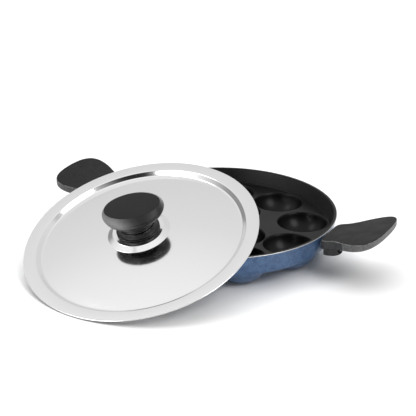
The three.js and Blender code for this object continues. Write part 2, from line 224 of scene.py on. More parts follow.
def colourRamp(tree, factor, colours, span=(0.3, 0.7)):
    # colours at the places of the span
    ramp = addNode(tree, "ShaderNodeValToRGB", links={"Fac": factor})
    band = ramp.color_ramp
    while len(band.elements) < len(colours):
        band.elements.new(0.5)
    for element, place, colour in zip(band.elements, span, colours):
        element.position = place
        element.color = (*colour, 1)
    return ramp.outputs["Color"]


def greyRamp(tree, factor, levels, span=(0.3, 0.7)):
    return colourRamp(tree, factor, [(level, level, level) for level in levels], span)


def setSockets(shader, values):
    for key, value in values.items():
        shader.inputs[key].default_value = value


def paint(tree, shader, colour, roughness=None):
    tree.links.new(colour, shader.inputs["Base Color"])
    if roughness is not None:
        tree.links.new(roughness, shader.inputs["Roughness"])


def objectPlace(tree):
    return addNode(tree, "ShaderNodeTexCoord").outputs["Object"]


def noise(tree, place, scale, detail=3, roughness=0.5):
    values = {"Scale": scale, "Detail": detail, "Roughness": roughness}
    return addNode(tree, "ShaderNodeTexNoise", values, {"Vector": place}).outputs["Fac"]


def mixed(tree, first, second, share):
    return addNode(tree, "ShaderNodeMix", {"Factor": share}, {"A": first, "B": second}).outputs[0]


def bump(tree, shader, height, strength, distance=fineRelief):
    values = {"Strength": strength, "Distance": distance}
    node = addNode(tree, "ShaderNodeBump", values, {"Height": height})
    tree.links.new(node.outputs["Normal"], shader.inputs["Normal"])


def ringPlace(tree, frameOf):
    # reach from the axis of the given frame, so that noise on it runs in rings
    values = {"Location": frameOf.translation, "Rotation": frameOf.to_euler()}
    own = addNode(tree, "ShaderNodeMapping", values, {"Vector": objectPlace(tree)}, vector_type="TEXTURE")
    flat = addNode(tree, "ShaderNodeVectorMath", {1: (1, 1, 0)}, {0: own.outputs[0]}, operation="MULTIPLY")
    reach = addNode(tree, "ShaderNodeVectorMath", links={0: flat.outputs[0]}, operation="LENGTH")
    return addNode(tree, "ShaderNodeCombineXYZ", links={"X": reach.outputs["Value"]}).outputs[0]


blueCoat = {
    "colours": ((0.012, 0.043, 0.125), (0.086, 0.178, 0.335)), "span": (0.34, 0.66), "rough": (0.30, 0.44),
    "speckleScale": 1300, "mottleScale": 180, "mottleShare": 0.35, "metallic": 0.3, "coat": 0.3,
    "coatRoughness": 0.15, "grain": 0.2}


def makeBlueCoat():
    finish, tree, shader = newFinish("hammeredBlueCoat")
    place = objectPlace(tree)
    speckle = noise(tree, place, blueCoat["speckleScale"], detail=2, roughness=0.7)
    mottle = noise(tree, place, blueCoat["mottleScale"])
    both = mixed(tree, speckle, mottle, blueCoat["mottleShare"])
    colour = colourRamp(tree, both, blueCoat["colours"], blueCoat["span"])
    paint(tree, shader, colour, greyRamp(tree, speckle, blueCoat["rough"]))
    setSockets(shader, {
        "Metallic": blueCoat["metallic"], "Coat Weight": blueCoat["coat"],
        "Coat Roughness": blueCoat["coatRoughness"]})
    bump(tree, shader, speckle, blueCoat["grain"], coarseRelief)
    return finish


blackFinishes = {
    "nonStickPlate": {
        "tone": (0.002, 0.005), "rough": (0.28, 0.35), "specular": 0.15, "grainScale": 2600,
        "grainDetail": 2, "cloudScale": 40, "grain": 0.08},
    "nonStickWall": {
        "tone": (0.004, 0.012), "rough": (0.40, 0.48), "specular": 0.50, "grainScale": 2000,
        "grainDetail": 2, "cloudScale": 60, "grain": 0.12},
    "gripBakelite": {
        "tone": (0.005, 0.024), "rough": (0.40, 0.54), "specular": 0.09, "grainScale": 800,
        "grainDetail": 3, "cloudScale": 60, "grain": 0.2},
    # lighter copy of the grip bakelite for the upright faces of the block and root: painted sheen
    "paintedSheenSideBakelite": {
        "tone": (0.04, 0.085), "rough": (0.42, 0.52), "specular": 0.2, "grainScale": 700,
        "grainDetail": 3, "cloudScale": 60, "grain": 0.12},
    "knobBakelite": {
        "tone": (0.010, 0.016), "rough": (0.40, 0.48), "specular": 0.14, "grainScale": 1500,
        "grainDetail": 3, "cloudScale": 60, "grain": 0.10},
    "glossBakelite": {
        "tone": (0.006, 0.010), "rough": (0.40, 0.46), "specular": 0.36, "grainScale": 900,
        "grainDetail": 3, "cloudScale": 60, "grain": 0.01}}
blackSpan = (0.3, 0.75)


def makeBlackFinish(name):
    # fine grain in tone and relief, slow clouds in the gloss
    values = blackFinishes[name]
    finish, tree, shader = newFinish(name)
    place = objectPlace(tree)
    grain = noise(tree, place, values["grainScale"], values["grainDetail"], roughness=0.6)
    cloud = noise(tree, place, values["cloudScale"])
    colour = greyRamp(tree, grain, values["tone"], blackSpan)
    paint(tree, shader, colour, greyRamp(tree, cloud, values["rough"]))
    setSockets(shader, {"Specular IOR Level": values["specular"]})
    bump(tree, shader, grain, values["grain"])
    return finish


turnedRim = {"tone": (0.42, 0.72), "ringScale": 9000, "roughness": 0.3, "grain": 0.15}


def makeTurnedRim():
    finish, tree, shader = newFinish("turnedRimAluminium")
    rings = noise(tree, ringPlace(tree, panPlace), turnedRim["ringScale"], detail=2, roughness=0.6)
    paint(tree, shader, greyRamp(tree, rings, turnedRim["tone"]))
    setSockets(shader, {"Metallic": 1, "Roughness": turnedRim["roughness"]})
    bump(tree, shader, rings, turnedRim["grain"])
    return finish


polishedSteel = {
    "tone": (0.865, 0.885), "rough": (0.09, 0.13), "roughSpan": (0.35, 0.65), "ringScale": 700,
    "cloudScale": 18, "cloudShare": 0.5, "anisotropy": 0.25, "grain": 0.004}


def makePolishedSteel():
    finish, tree, shader = newFinish("polishedLidSteel")
    rings = noise(tree, ringPlace(tree, lidPlace), polishedSteel["ringScale"], detail=4, roughness=0.7)
    cloud = noise(tree, objectPlace(tree), polishedSteel["cloudScale"])
    both = mixed(tree, rings, cloud, polishedSteel["cloudShare"])
    rough = greyRamp(tree, both, polishedSteel["rough"], polishedSteel["roughSpan"])
    paint(tree, shader, greyRamp(tree, rings, polishedSteel["tone"]), rough)
    setSockets(shader, {"Metallic": 1, "Anisotropic": polishedSteel["anisotropy"]})
    bump(tree, shader, rings, polishedSteel["grain"], coarseRelief)
    return finish


# painted sheen on the blade's outer upright faces, streaked, and a painted highlight line along its top edge
paintedEdgeLights = {
    "paintedSheenGripEdge": {
        "tone": (0.07, 0.20), "rough": (0.44, 0.58), "specular": 0.3, "streak": (1200, 1200, 450),
        "fineScale": 2600, "grain": 0.25},
    "paintedHighlightGripEdge": {
        "tone": (0.02, 0.27), "rough": (0.39, 0.53), "specular": 0.3, "streak": (260, 260, 260),
        "fineScale": 2600, "grain": 0.1}}
edgeSpan = (0.32, 0.7)


def makePaintedEdgeLight(name):
    # painted sheen and painted highlight on the edges of the moulding, streaked or patchy
    values = paintedEdgeLights[name]
    finish, tree, shader = newFinish(name)
    place = objectPlace(tree)
    drawn = addNode(tree, "ShaderNodeVectorMath", {1: values["streak"]}, {0: place}, operation="MULTIPLY")
    streak = noise(tree, drawn.outputs[0], 1, detail=4, roughness=0.7)
    fine = noise(tree, place, values["fineScale"], detail=2)
    colour = greyRamp(tree, streak, values["tone"], edgeSpan)
    paint(tree, shader, colour, greyRamp(tree, fine, values["rough"]))
    setSockets(shader, {"Specular IOR Level": values["specular"]})
    bump(tree, shader, streak, values["grain"])
    return finish


platedMetals = {
    "zincPlate": {"colours": ((0.42, 0.43, 0.44), (0.62, 0.63, 0.65)), "rough": (0.24, 0.38)},
    "blackenedSteel": {"colours": ((0.03, 0.03, 0.032), (0.07, 0.07, 0.075)), "rough": (0.39, 0.53)},
    "studAluminium": {"colours": ((0.50, 0.51, 0.52), (0.68, 0.69, 0.70)), "rough": (0.34, 0.48)},
    "insertBrass": {"colours": ((0.42, 0.27, 0.08), (0.62, 0.43, 0.16)), "rough": (0.24, 0.38)}}
metalGrain = {"cloudScale": 420, "fineScale": 3200, "grain": 0.1}


def makePlatedMetal(name):
    values = platedMetals[name]
    finish, tree, shader = newFinish(name)
    place = objectPlace(tree)
    cloud = noise(tree, place, metalGrain["cloudScale"], detail=4, roughness=0.6)
    fine = noise(tree, place, metalGrain["fineScale"], detail=2)
    paint(tree, shader, colourRamp(tree, cloud, values["colours"]), greyRamp(tree, fine, values["rough"]))
    setSockets(shader, {"Metallic": 1})
    bump(tree, shader, fine, metalGrain["grain"])
    return finish


finishes = {
    "blue": makeBlueCoat(), "rim": makeTurnedRim(), "plate": makeBlackFinish("nonStickPlate"),
    "wall": makeBlackFinish("nonStickWall"), "steel": makePolishedSteel(),
    # the grip's side, block and top-edge finishes carry painted sheen and a painted highlight
    "grip": makeBlackFinish("gripBakelite"), "block": makeBlackFinish("paintedSheenSideBakelite"),
    "outerSideSheen": makePaintedEdgeLight("paintedSheenGripEdge"), "topEdgeHighlight": makePaintedEdgeLight("paintedHighlightGripEdge"),
    "knob": makeBlackFinish("knobBakelite"), "gloss": makeBlackFinish("glossBakelite"),
    "zinc": makePlatedMetal("zincPlate"), "blackened": makePlatedMetal("blackenedSteel"),
    "stud": makePlatedMetal("studAluminium"), "brass": makePlatedMetal("insertBrass")}
print("finishes made:", len(finishes))


# pan casting

casting = {
    "rimRadius": 110, "rimWidth": 3, "rimEdge": 0.6, "rimRound": 0.48, "rimLean": 0.05, "height": 35,
    "plateHeight": 20.6, "plateRound": 1.0, "plateLap": 0.3, "insideTaper": 3.2, "underside": 14.2,
    "wallTaper": 4.4, "footRound": 3, "outerRing": (78.1, 9, 270), "innerRing": (32.8, 3, 90),
    "mouthRadius": 23.8, "cavityFloor": 2.4, "lipRound": 1.2, "bowlWall": 2.8, "bowlFoot": 12,
    "bowlBlend": 2.6, "footBlend": 1.2, "crease": 45,
    # how finely it is drawn outside
    "segments": 324, "hubRadius": 1.2, "underRings": 80, "footSteps": 9, "wallSteps": 16, "cornerSteps": 5,
    "pushFrom": 24.0, "pushes": 90, "pushShare": 0.9,
    # and on the plate
    "cavitySegments": 90, "cavityRings": (3, 6, 9, 12, 14.5, 17, 19, 20.6, 21.8, 22.7), "lipRings": 6,
    "lipMargin": 0.5, "edgeMargin": 0.15, "gridReach": 100, "gridStep": 6.0, "gridClear": 2.5,
    "gridMargin": 3, "spotGap": 1e-5}


def cavityCentres():
    # rings of (radius, count, first turn)
    centres = []
    for radius, count, start in (casting["outerRing"], casting["innerRing"]):
        for i in range(count):
            angle = math.radians(start + 360 * i / count)
            centres.append((radius * math.cos(angle), radius * math.sin(angle)))
    return np.array(centres)


def wallLine():
    # radius and height at the foot of the slanting wall, its rise and its slant length
    foot = casting["rimRadius"] - casting["wallTaper"]
    footHeight = casting["underside"] + casting["footRound"]
    rise = casting["height"] - footHeight
    return foot, footHeight, rise, math.hypot(casting["wallTaper"], rise)


def outsideDistance(points):
    # how far points lie outside the cup with its bowls blended on
    x, y, height = points[..., 0], points[..., 1], points[..., 2]
    foot, footHeight, rise, slant = wallLine()
    lean = (np.hypot(x, y) - foot) * rise - (height - footHeight) * casting["wallTaper"]
    side = lean / slant + casting["footRound"]
    under = casting["underside"] - height + casting["footRound"]
    cup = np.minimum(np.maximum(side, under), 0) + np.hypot(np.maximum(side, 0), np.maximum(under, 0))
    distance = cup - casting["footRound"]
    top = casting["mouthRadius"] + casting["bowlWall"]
    centre = (top ** 2 + casting["underside"] ** 2 - casting["bowlFoot"] ** 2) / (2 * casting["underside"])
    radius = math.hypot(casting["bowlFoot"], centre)
    for cx, cy in cavityCentres():
        bowl = np.sqrt((x - cx) ** 2 + (y - cy) ** 2 + (height - centre) ** 2) - radius
        distance = smoothMin(distance, bowl, casting["bowlBlend"])
    return -smoothMin(-distance, height, casting["footBlend"])


def outsideRows():
    # rings from the middle of the underside out and up to the rim, pushed out onto the blended bowls
    foot, footHeight, rise, slant = wallLine()
    out = (rise / slant, -casting["wallTaper"] / slant)
    roundFrom = foot - casting["footRound"]
    base = []
    for radius in np.linspace(casting["hubRadius"], roundFrom, casting["underRings"]):
        base.append((radius, casting["underside"], 0, -1))
    edgeAngle = math.atan2(out[1], out[0])
    for angle in np.linspace(-math.pi / 2, edgeAngle, casting["footSteps"])[1:]:
        radius = roundFrom + casting["footRound"] * math.cos(angle)
        height = footHeight + casting["footRound"] * math.sin(angle)
        base.append((radius, height, math.cos(angle), math.sin(angle)))
    for share in np.linspace(0, 1, casting["wallSteps"])[1:]:
        height = footHeight + (rise - casting["rimEdge"]) * share
        base.append((foot + casting["wallTaper"] * (height - footHeight) / rise, height, *out))
    base = np.array(base)
    angles = fullTurn(casting["segments"])
    cos, sin = np.cos(angles)[None, :], np.sin(angles)[None, :]

    def around(radius, height):
        return np.stack([radius[:, None] * cos, radius[:, None] * sin, height[:, None] + 0 * cos], -1)

    start = around(base[:, 0], base[:, 1])
    away = around(base[:, 2], base[:, 3])
    push = np.full(start.shape[:2], casting["pushFrom"])
    for _ in range(casting["pushes"]):
        over = outsideDistance(start + away * push[..., None])
        push = np.maximum(push - over * casting["pushShare"], 0)
    return start + away * push[..., None]


def cavityBall():
    # radius and middle height of a cavity's ball, and the reaches where its round lip starts and ends
    plate, lip = casting["plateHeight"], casting["lipRound"]
    depth = plate - casting["cavityFloor"]
    radius = (casting["mouthRadius"] ** 2 + depth ** 2) / (2 * depth)
    centre = casting["cavityFloor"] + radius
    lipReach = math.sqrt((radius + lip) ** 2 - (centre - plate + lip) ** 2)
    return radius, centre, lipReach * radius / (radius + lip), lipReach


def dishHeight(x, y):
    # height of the plate with its round-lipped cavities
    plate, lip = casting["plateHeight"], casting["lipRound"]
    radius, centre, lipStart, lipReach = cavityBall()
    height = np.full(np.shape(x), plate, float)
    for cx, cy in cavityCentres():
        reach = np.hypot(x - cx, y - cy)
        dish = centre - np.sqrt(np.maximum(radius ** 2 - reach ** 2, 0))
        edge = plate - lip + np.sqrt(np.maximum(lip ** 2 - (reach - lipReach) ** 2, 0))
        here = np.where(reach < lipStart, dish, np.where(reach < lipReach, edge, plate))
        height = np.minimum(height, here)
    return height


def plateMesh(edgeRadius):
    # rings round each cavity and a loose grid between them, joined into triangles
    lipStart, lipReach = cavityBall()[2:]
    centres = cavityCentres()
    spots = []
    for angle in fullTurn(casting["segments"]):
        spots.append((edgeRadius * math.cos(angle), edgeRadius * math.sin(angle)))
    lipRings = np.linspace(lipStart, lipReach, casting["lipRings"])
    reaches = [*casting["cavityRings"], *lipRings, lipReach + casting["lipMargin"]]
    for cx, cy in centres:
        spots.append((cx, cy))
        for ring, reach in enumerate(reaches):
            for i in range(casting["cavitySegments"]):
                angle = (i + 0.5 * (ring % 2)) * 2 * math.pi / casting["cavitySegments"]
                spot = (cx + reach * math.cos(angle), cy + reach * math.sin(angle))
                nearest = np.hypot(centres[:, 0] - spot[0], centres[:, 1] - spot[1]).min()
                if nearest > reach - tiny and math.hypot(*spot) < edgeRadius - casting["edgeMargin"]:
                    spots.append(spot)
    lines = np.arange(-casting["gridReach"], casting["gridReach"] + 1, casting["gridStep"])
    for x in lines:
        for y in lines:
            nearest = np.hypot(centres[:, 0] - x, centres[:, 1] - y).min()
            within = math.hypot(x, y) < edgeRadius - casting["gridMargin"]
            if within and nearest > lipReach + casting["gridClear"]:
                spots.append((x, y))
    flat, _, faces, *_ = delaunay_2d_cdt([Vector(s) for s in spots], [], [], 0, casting["spotGap"])
    flat = np.array([tuple(v) for v in flat])
    return np.column_stack([flat, dishHeight(flat[:, 0], flat[:, 1])]), [tuple(f) for f in faces]


def makePan():
    rows = outsideRows()
    columns, steps = casting["segments"], casting["cornerSteps"]
    rim, high, plate = casting["rimRadius"], casting["height"], casting["plateHeight"]
    inner = rim - casting["rimWidth"]
    plateRadius = inner - casting["insideTaper"]
    plateEdge = plateRadius - casting["plateRound"] - casting["plateLap"]
    inside = roundedLine([
        (rim - casting["rimLean"], high - casting["rimEdge"], 0), (rim, high, casting["rimRound"]),
        (inner, high, casting["rimRound"]), (plateRadius, plate, casting["plateRound"]),
        (plateEdge, plate, 0)], steps)[1:]
    angles = fullTurn(columns)
    cos, sin = np.cos(angles), np.sin(angles)
    rings = [np.column_stack([r * cos, r * sin, np.full(columns, z)]) for r, z in inside]
    grid = np.concatenate([rows, np.array(rings)])
    points = [tuple(p) for p in grid.reshape(-1, 3)]
    faces = gridFaces(len(grid), columns, 0, True)

    # one coat for each row of faces: blue outside, bare at the rim's outer edge, black inside
    coatNames = ["blue", "rim", "plate", "wall"]
    rimFrom, rimTo = len(rows) - 1, len(rows) + steps
    rowCoats = ["blue"] * rimFrom + ["rim"] * (rimTo - rimFrom) + ["plate"] * (len(grid) - 1 - rimTo)
    rowCoats[rimTo + steps + 1] = "wall"
    picks = [coatNames.index(coat) for coat in rowCoats for _ in range(columns)]

    hub = len(points)
    points.append((0, 0, float(rows[0, :, 2].mean())))
    faces += [(hub, (j + 1) % columns, j) for j in range(columns)]
    picks += [coatNames.index("blue")] * columns
    platePoints, plateFaces = plateMesh(plateEdge)
    start = len(points)
    points += [tuple(p) for p in platePoints]
    faces += [tuple(i + start for i in f) for f in plateFaces]
    picks += [coatNames.index("plate")] * len(plateFaces)
    coats = [finishes[name] for name in coatNames]
    return newPiece("panCasting", points, faces, coats, "pan", ["pan_body"], panPlace, picks,
                    casting["crease"])


panCasting = makePan()
print("pan casting:", len(panCasting.data.polygons), "faces")


# side grips

grip = {
    # blade
    "innerEnd": 110.3, "reach": 169, "rootDrop": 1, "rise": 15.7, "sag": 0.6, "rootHalfWidth": 22,
    "rootRound": 8, "halfWidth": 36.6, "widestFromTip": 15, "waistEase": 0.43, "shoulderEase": 0.7,
    "cornerEase": 0.82, "tipEase": 0.57, "rootThickness": 9, "tipThickness": 7, "topEdge": 1.3,
    "lowEdge": 2.0, "crown": 0.5, "rootSteps": 14, "flareSteps": 34, "endSteps": 40, "columns": 61,
    # block under its root, and the bores in it
    "blockEnd": 124.16, "blockHalfWidth": 10.5, "blockDrop": 20, "blockEdge": 1.6, "turnSteps": 41,
    "edgeSteps": 7, "fixingDrop": 13.6, "studRadius": 5.3, "studEnd": 113.16, "screwRadius": 2.7,
    "headRadius": 5.9, "headSeat": 118.16, "boreFrom": 100, "boreOver": 5, "boreSegments": 48,
    # where its edges get painted sheen and a painted highlight
    "edgeFrom": 136, "edgeTilt": 0.75, "highlightTilt": (0.4, 0.8), "highlightAbove": 31}


def bezier(a, b, c, d, count):
    share = np.linspace(0, 1, count)[:, None]
    rest = 1 - share
    a, b, c, d = (np.array(p, float) for p in (a, b, c, d))
    return rest ** 3 * a + 3 * share * rest ** 2 * b + 3 * share ** 2 * rest * c + share ** 3 * d


def gripOutline():
    # one side of the blade seen from above, root to tip
    rim, inner, tip = casting["rimRadius"], grip["innerEnd"], grip["reach"]
    narrow, broad = grip["rootHalfWidth"], grip["halfWidth"]
    widest = tip - grip["widestFromTip"]
    flare = widest - rim
    waist = rim + flare * grip["waistEase"]
    shoulder = rim + flare * grip["shoulderEase"]
    corner = widest + grip["widestFromTip"] * grip["cornerEase"]
    flat, flank = narrow - grip["rootRound"], inner + grip["rootRound"]
    near, far = (flat + 2 * narrow) / 3, (flank + 2 * inner) / 3
    root = bezier((inner, flat), (inner, near), (far, narrow), (flank, narrow), grip["rootSteps"])
    side = bezier((flank, narrow), (waist, narrow), (shoulder, broad), (widest, broad), grip["flareSteps"])
    end = bezier((widest, broad), (corner, broad), (tip, broad * grip["tipEase"]), (tip, 0), grip["endSteps"])
    return np.concatenate([root[:-1], side[:-1], end])


def outlineDistance(x, y):
    # how far points of the blade lie from its outline
    half = gripOutline()
    outline = np.concatenate([half, half[::-1] * (1, -1), half[:1]])
    distance = np.full(x.shape, np.inf)
    for (px, py), (dx, dy) in zip(outline[:-1], np.diff(outline, axis=0)):
        length = dx * dx + dy * dy
        if not length:
            continue
        share = np.clip(((x - px) * dx + (y - py) * dy) / length, 0, 1)
        distance = np.minimum(distance, np.hypot(x - px - share * dx, y - py - share * dy))
    return distance


def bladeHeights(x):
    inner, reach = grip["innerEnd"], grip["reach"]
    slope = grip["rise"] / (reach - casting["rimRadius"])
    tip = casting["height"] - grip["rootDrop"] + grip["rise"]
    root = tip - slope * (reach - inner)
    bend = (root + tip) / 2 - 2 * grip["sag"]
    share = (x - inner) / (reach - inner)
    weights = ((1 - share) ** 2, 2 * share * (1 - share), share ** 2)
    top = weights[0] * root + weights[1] * bend + weights[2] * tip
    middle = (grip["rootThickness"] + grip["tipThickness"]) / 2
    thick = weights[0] * grip["rootThickness"] + weights[1] * middle + weights[2] * grip["tipThickness"]
    return top, top - thick


def edgeDrop(distance, radius):
    inside = np.clip(radius - distance, 0, radius)
    return radius - np.sqrt(np.maximum(radius ** 2 - inside ** 2, 0))


def bladeMesh():
    half = gripOutline()[:-1]
    across = np.sin(np.linspace(-math.pi / 2, math.pi / 2, grip["columns"]))
    x = np.repeat(half[:, :1], len(across), 1)
    y = half[:, 1:] * across[None, :]
    distance = outlineDistance(x, y)
    top, low = bladeHeights(x)
    crown = grip["crown"] * (1 - (y / grip["halfWidth"]) ** 2) - grip["crown"]
    upper = np.stack([x, y, top + crown - edgeDrop(distance, grip["topEdge"])], -1)
    lower = np.stack([x, y, low + edgeDrop(distance, grip["lowEdge"])], -1)
    rows, columns = x.shape
    shift = rows * columns
    points = np.concatenate([upper.reshape(-1, 3), lower.reshape(-1, 3)])
    faces = gridFaces(rows, columns) + [f[::-1] for f in gridFaces(rows, columns, shift)]
    border = [i * columns for i in range(rows)]
    border += [(rows - 1) * columns + j for j in range(1, columns)]
    border += [i * columns + columns - 1 for i in range(rows - 2, -1, -1)]
    border += list(range(columns - 2, 0, -1))
    for a, b in zip(border, border[1:] + border[:1]):
        faces.append((a, b, b + shift, a + shift))
    return points, faces


def blockMesh():
    inner, half, edge = grip["innerEnd"], grip["blockHalfWidth"], grip["blockEdge"]
    low = casting["height"] - grip["blockDrop"]
    high = casting["height"] - grip["rootDrop"] - grip["rootThickness"] / 2
    turns = np.linspace(-math.pi / 2, math.pi / 2, grip["turnSteps"])
    levels = [(0, high), (0, low + edge)]
    for angle in np.linspace(0, math.pi / 2, grip["edgeSteps"])[1:]:
        levels.append((edge - edge * math.cos(angle), low + edge - edge * math.sin(angle)))
    points = []
    for inset, height in levels:
        radius = half - inset
        points.append((inner, -radius, height))
        for turn in turns:
            reach = grip["blockEnd"] - half + radius * math.cos(turn)
            points.append((reach, radius * math.sin(turn), height))
        points.append((inner, radius, height))
    columns = len(turns) + 2
    faces = gridFaces(len(levels), columns, 0, True)
    faces.append(tuple(range(columns)))
    faces.append(tuple(range(len(points) - columns, len(points)))[::-1])
    return points, faces


def rodMesh(radius, start, end):
    line = [(0, start), (radius, start), (radius, end), (0, end)]
    points, faces = turned(line, grip["boreSegments"])
    height = casting["height"] - grip["fixingDrop"]
    return np.column_stack([points[:, 2], points[:, 1], height - points[:, 0]]), faces


def combine(piece, tools):
    for kind, (points, faces) in tools:
        tool = newPiece("cutter", points, faces, [])
        change = piece.modifiers.new(kind, "BOOLEAN")
        change.operation = kind
        change.solver = "EXACT"
        change.object = tool
        bpy.context.view_layer.objects.active = piece
        bpy.ops.object.modifier_apply(modifier=change.name)
        bpy.data.objects.remove(tool)


def gripCoat(face):
    # painted highlight line along the top edge, painted sheen on the upright faces outside, a milder painted
    # sheen on the upright faces of the block and root, grained top
    low, high = grip["highlightTilt"]
    if low < face.normal.z < high and face.center.z > grip["highlightAbove"] * mm:
        return "topEdgeHighlight"
    if abs(face.normal.z) < grip["edgeTilt"]:
        return "outerSideSheen" if face.center.x > grip["edgeFrom"] * mm else "block"
    return "grip"


def makeGrip(side, turn):
    coatNames = ["grip", "outerSideSheen", "block", "topEdgeHighlight"]
    points, faces = bladeMesh()
    piece = newPiece(side + "Grip", points, faces, [finishes[name] for name in coatNames])
    start, end = grip["boreFrom"], grip["blockEnd"]
    combine(piece, [
        ("UNION", blockMesh()),
        ("DIFFERENCE", rodMesh(grip["studRadius"], start, grip["studEnd"])),
        ("DIFFERENCE", rodMesh(grip["screwRadius"], start, end)),
        ("DIFFERENCE", rodMesh(grip["headRadius"], grip["headSeat"], end + grip["boreOver"]))])
    for face in piece.data.polygons:
        face.material_index = coatNames.index(gripCoat(face))
    piece.data.transform(panPlace @ Matrix.Rotation(turn, 4, "Z"))
    piece.data.shade_smooth()
    piece.data.set_sharp_from_angle(angle=math.radians(creaseAngle))
    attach(piece, "pan")
    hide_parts(side + "_grip")
    return piece


for gripSide, gripTurn in (("right", 0), ("left", math.pi)):
    made = makeGrip(gripSide, gripTurn)
    print(made.name, len(made.data.polygons), "faces")


# lid sheet

lidSheet = {
    "radius": 108.3, "thickness": 0.9, "hole": 2.8, "flangeWidth": 11.8, "flangeRound": 1.6,
    "flangeEnd": 0.1, "troughDepth": 4, "troughSlope": 4, "troughRound": 2.4, "domeRise": 5.85,
    "bossFoot": 28.6, "bossFootRound": 1.2, "bossRadius": 23.4, "bossRise": 3.35, "bossRound": 2.0,
    "domeRings": 25, "roundSteps": 8, "edgeSteps": 9, "segments": 288, "crease": 50}


def lidFace():
    # upper face from the hole in the boss out to the flange, measured from the flange
    dome, foot = lidSheet["domeRise"], lidSheet["bossFoot"]
    bossTop = dome + lidSheet["bossRise"]
    flangeIn = lidSheet["radius"] - lidSheet["flangeWidth"]
    trough = flangeIn - lidSheet["troughSlope"]
    corners = [(lidSheet["hole"], bossTop, 0), (lidSheet["bossRadius"], bossTop, lidSheet["bossRound"])]
    between = [0] * (lidSheet["domeRings"] - 2)
    roundings = [lidSheet["bossFootRound"], *between, lidSheet["troughRound"]]
    for radius, rounding in zip(np.linspace(foot, trough, lidSheet["domeRings"]), roundings):
        fall = (radius ** 2 - foot ** 2) / (trough ** 2 - foot ** 2)
        corners.append((radius, dome - (dome + lidSheet["troughDepth"]) * fall, rounding))
    corners.append((flangeIn, 0, lidSheet["flangeRound"]))
    corners.append((lidSheet["radius"] - lidSheet["flangeEnd"], 0, 0))
    return roundedLine(corners, lidSheet["roundSteps"])


def offsetLine(line, distance):
    line = np.array(line)
    along = np.gradient(line, axis=0)
    along /= np.linalg.norm(along, axis=1)[:, None]
    return line + np.column_stack([along[:, 1], -along[:, 0]]) * distance


def makeLid():
    face = lidFace()
    under = offsetLine(face, lidSheet["thickness"])
    under[0, 0] = lidSheet["hole"]
    half = lidSheet["thickness"] / 2
    edge = []
    for angle in np.linspace(math.pi / 2, -math.pi / 2, lidSheet["edgeSteps"]):
        edge.append((lidSheet["radius"] - half + half * math.cos(angle), -half + half * math.sin(angle)))
    line = face[:-1] + edge + [tuple(p) for p in under[-2::-1]]
    points, faces = turned(line, lidSheet["segments"], True)
    return newPiece("lidSheet", points, faces, [finishes["steel"]], "lid", ["lid_plate"],
                    lidPlace, crease=lidSheet["crease"])


lidPiece = makeLid()
print("lid sheet:", len(lidPiece.data.polygons), "faces")


# knob and collar

knob = {
    "turn": -55, "segments": 128, "roundReach": 6,
    # collar, with its foot as (inset, rise)
    "bottom": 9.5, "collarHeight": 6.2, "collarHalfLength": 19.8, "collarHalfWidth": 18.3,
    "collarFoot": ((0.5, 0), (0.1, 0.2), (0, 0.6)), "collarEdge": 1.2, "collarTop": 16.2,
    "collarLand": 0.3, "collarSteps": 10, "screwHole": 2.8,
    # neck and cap
    "neckBottom": 16.0, "neckRadius": 15.8, "neckHeight": 8, "neckEdge": 0.5, "capHalfLength": 28.2,
    "capHalfWidth": 24.2, "capTopHalfWidth": 17.8, "capRise": 8, "capRound": 0.5, "topRound": 0.35,
    "bevelHeight": 4.4, "bevelWidth": 2.8, "crown": 0.5, "topEdge": 0.15, "bandDrop": 3, "bandEdge": 0.4,
    "insertHole": 5.3, "insertHoleTop": 28.6, "underSteps": 16, "roundSteps": 5, "crownSteps": 9,
    "crease": 30}


def quarterArc(radius, height, width, rise, steps):
    angles = np.linspace(0, math.pi / 2, steps + 1)
    return [(radius + width * math.cos(a), height + rise * math.sin(a)) for a in angles]


def squeezed(points, levels):
    # turned shape made oval by (height, share) levels, except close to its axis, and turned on the lid
    points = np.array(points, float)
    heights, shares = zip(*levels)
    share = np.interp(points[:, 2], heights, shares)
    share = np.where(np.hypot(points[:, 0], points[:, 1]) < knob["roundReach"], 1, share)
    x, y = points[:, 0].copy(), points[:, 1] * share
    angle = math.radians(knob["turn"])
    points[:, 0] = x * math.cos(angle) - y * math.sin(angle)
    points[:, 1] = x * math.sin(angle) + y * math.cos(angle)
    return points


def makeCollar():
    low, top = knob["bottom"], knob["bottom"] + knob["collarHeight"]
    reach, hole = knob["collarHalfLength"], knob["screwHole"]
    edgeTop = low + knob["collarEdge"]
    hollow = quarterArc(reach, top, knob["collarTop"] - reach, edgeTop - top, knob["collarSteps"])
    line = [(hole, low)] + [(reach - inset, low + rise) for inset, rise in knob["collarFoot"]]
    line += hollow[::-1] + [(knob["collarTop"] - knob["collarLand"], top), (hole, top)]
    points, faces = turned(line, knob["segments"], True)
    points = squeezed(points, [(low, knob["collarHalfWidth"] / reach), (top, 1)])
    return newPiece("knobCollar", points, faces, [finishes["gloss"]], "lid", ["knob_collar"],
                    lidPlace)


# painted highlight on the cap's slanting edge: lighter towards both ends of a turned axis, with grain noise
knobBandHighlight = {
    "turn": -10, "tone": (0.012, 0.03, 0.09, 0.24), "span": (0.34, 0.52, 0.68, 0.87), "patchy": 0.16,
    "grainScale": 1100, "roughness": 0.40, "specular": 0.25, "grain": 0.06}


